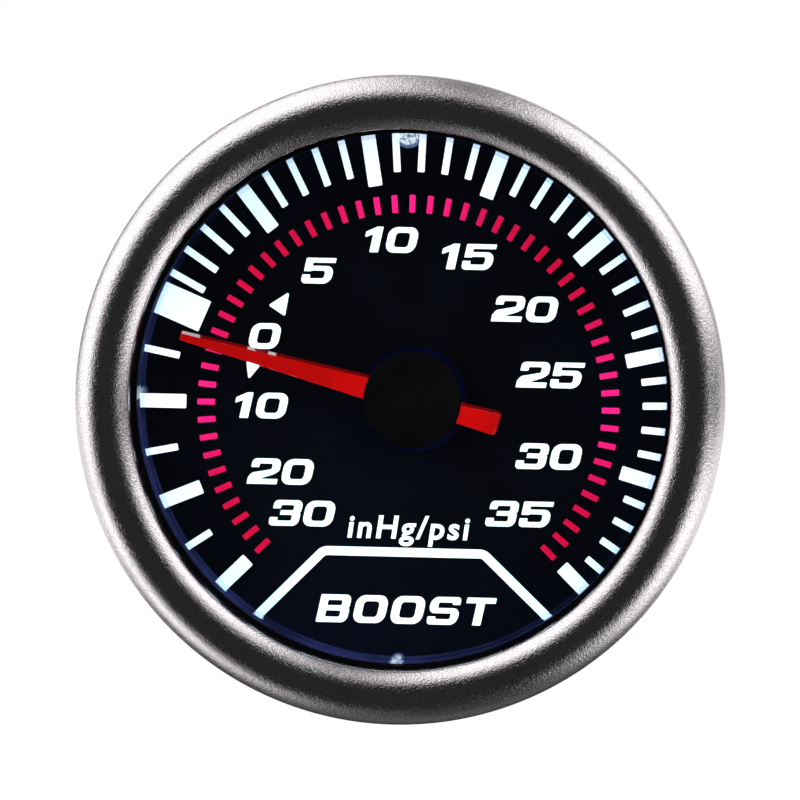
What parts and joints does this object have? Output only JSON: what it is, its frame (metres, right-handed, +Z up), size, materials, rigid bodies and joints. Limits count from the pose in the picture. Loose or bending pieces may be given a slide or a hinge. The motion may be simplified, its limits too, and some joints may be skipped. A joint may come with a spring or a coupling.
{
  "type": "boost gauge",
  "caption": "Round panel gauge with a lit dial, a red pointer turned by a Bourdon tube through a geared movement, a hose nipple and a clamp bracket behind.",
  "frame": {"origin": "on the case's axis, in the face at the back of the bezel that seats on the panel", "axes": "+Y along the case's axis from the dial to the nipple, so the dial faces -Y; +Z up; +X to the right as seen from the front"},
  "size_m": [0.06, 0.064, 0.06],
  "materials": {
    "black_steel": "black baked enamel on drawn steel",
    "satin_bezel": "bead-blasted, dark nickel plated",
    "smoke_lens": "polished, lightly smoked",
    "rubber": "matt",
    "black_plastic": "fine matt",
    "clear_plastic": "clear moulded acrylic",
    "dial_print": "matt screen print on a translucent sheet",
    "white_plastic": "matt white",
    "circuit_board": "solder mask",
    "lamp": "white housing with yellow phosphor",
    "resistor": "black film on ceramic",
    "brass": "turned and stamped, plain",
    "bronze": "drawn phosphor bronze",
    "steel": "zinc plated",
    "fibre": "red vulcanised fibre",
    "red_pointer": "translucent red, moulded"
  },
  "bodies": {
    "case": {"case_cup": "black_steel", "bezel_ring": "satin_bezel", "lens": "smoke_lens", "lens_gasket": "rubber", "shade_ring": "black_plastic", "clear_ring": "clear_plastic", "dial_plate": "dial_print", "light_guide": "clear_plastic", "reflector": "white_plastic", "led_board": "circuit_board", "leds": "lamp", "resistors": "resistor", "solder_posts": "steel", "board_screws": "steel", "board_standoffs": "brass", "movement_front_plate": "brass", "movement_back_plate": "brass", "movement_pillars": "brass", "plate_screws": "steel", "movement_screws": "steel", "hairspring": "bronze", "hairspring_stud": "brass", "bourdon_tube": "bronze", "socket_block": "brass", "socket_gasket": "fibre", "socket_screws": "steel", "nipple_seal": "fibre", "inlet_nipple": "brass", "mounting_studs": "steel", "wire_grommet": "rubber"},
    "pointer": {"pointer": "red_pointer", "hub_cap": "black_plastic", "pointer_arbor": "steel", "hairspring_collet": "brass"},
    "sector": {"sector_gear": "brass", "sector_arbor": "steel"},
    "tube_tip": {"tube_tip": "brass", "tip_screw": "steel"},
    "link": {"link": "brass", "link_pin": "steel"},
    "clamp": {"clamp_bracket": "black_steel", "lock_washers": "steel", "thumb_nuts": "brass"}
  },
  "joints": [
    {"name": "pointer_turn", "type": "hinge", "parent": "case", "child": "pointer", "pos_m": [0.0009, 0, -0.0002], "axis": [0, 1, 0], "range_deg": [-59.3, 210.7], "stiffness_Nm_per_rad": 0.002, "deforming": ["hairspring"]},
    {"name": "sector_turn", "type": "hinge", "parent": "case", "child": "sector", "pos_m": [0.01331, 0.0152, -0.00239], "axis": [0, 1, 0], "range_deg": [-36, 10.5]},
    {"name": "tip_swing", "type": "hinge", "parent": "case", "child": "tube_tip", "pos_m": [-0.00462, 0.0235, 0.00403], "axis": [0, 1, 0], "range_deg": [-6.8, 2], "deforming": ["bourdon_tube"]},
    {"name": "link_swing", "type": "hinge", "parent": "tube_tip", "child": "link", "pos_m": [0.01974, 0.01615, 0.00485], "axis": [0, 1, 0], "range_deg": [-2.6, 8.5]},
    {"name": "clamp_slide", "type": "slide", "parent": "case", "child": "clamp", "axis": [0, 1, 0], "range_m": [-0.001, 0.006]}
  ],
  "couplings": [
    {"joint": "sector_turn", "follows": "pointer_turn", "ratio": -0.16667},
    {"joint": "tip_swing", "follows": "pointer_turn", "ratio": -0.030952},
    {"joint": "link_swing", "follows": "pointer_turn", "ratio": 0.039024}
  ]
}
